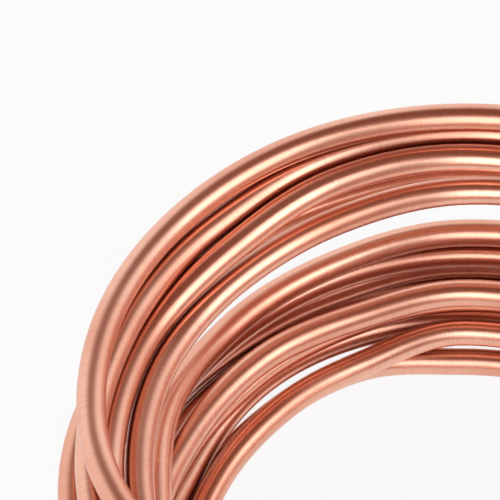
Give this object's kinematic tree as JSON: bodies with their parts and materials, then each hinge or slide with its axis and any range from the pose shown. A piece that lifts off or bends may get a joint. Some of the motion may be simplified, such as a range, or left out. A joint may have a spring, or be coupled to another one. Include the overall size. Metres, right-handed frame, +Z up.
{
  "type": "coil of copper tube",
  "caption": "Loose round coil of small soft copper tube, wound in uneven overlapping turns, with both open ends free.",
  "frame": {"origin": "on the coil's axis, at the level floor that the coil lies on", "axes": "+Z up along the coil's axis, +Y towards the far side of the coil as pictured, -X towards its left side"},
  "size_m": [0.183, 0.1832, 0.0729],
  "materials": {
    "copper": "bright drawn"
  },
  "bodies": {
    "root": {"copper_tube": "copper"}
  },
  "joints": []
}
